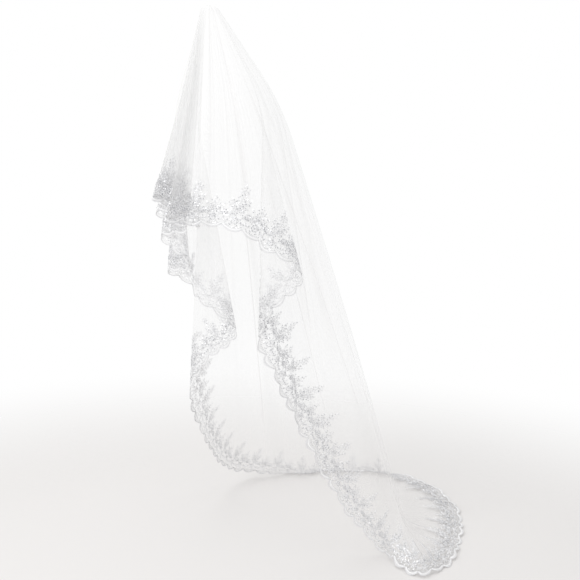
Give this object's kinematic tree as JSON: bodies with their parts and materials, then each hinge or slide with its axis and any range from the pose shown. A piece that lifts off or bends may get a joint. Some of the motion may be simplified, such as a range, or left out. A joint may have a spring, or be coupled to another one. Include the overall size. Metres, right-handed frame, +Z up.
{
  "type": "cathedral veil",
  "caption": "Long sheer white bridal veil draped from the crown, with a short front, cascading sides, a train lying on the floor and a scalloped floral lace border all round.",
  "frame": {"origin": "the crown: the top of the veil, where it sits on the head and is pinned", "axes": "+Z up; the wearer faces -Y, so the short front is at -Y and the train runs out along +Y; +X is the wearer's left; the floor is at z = -1.85 m"},
  "size_m": [1.0015, 1.2242, 1.8505],
  "materials": {
    "tulle": "sheer white net with a faint sheen",
    "lace": "matt white cord and thread with a few small bright sequins"
  },
  "bodies": {
    "root": {"tulle": "tulle", "lace_border": "lace"}
  },
  "joints": []
}
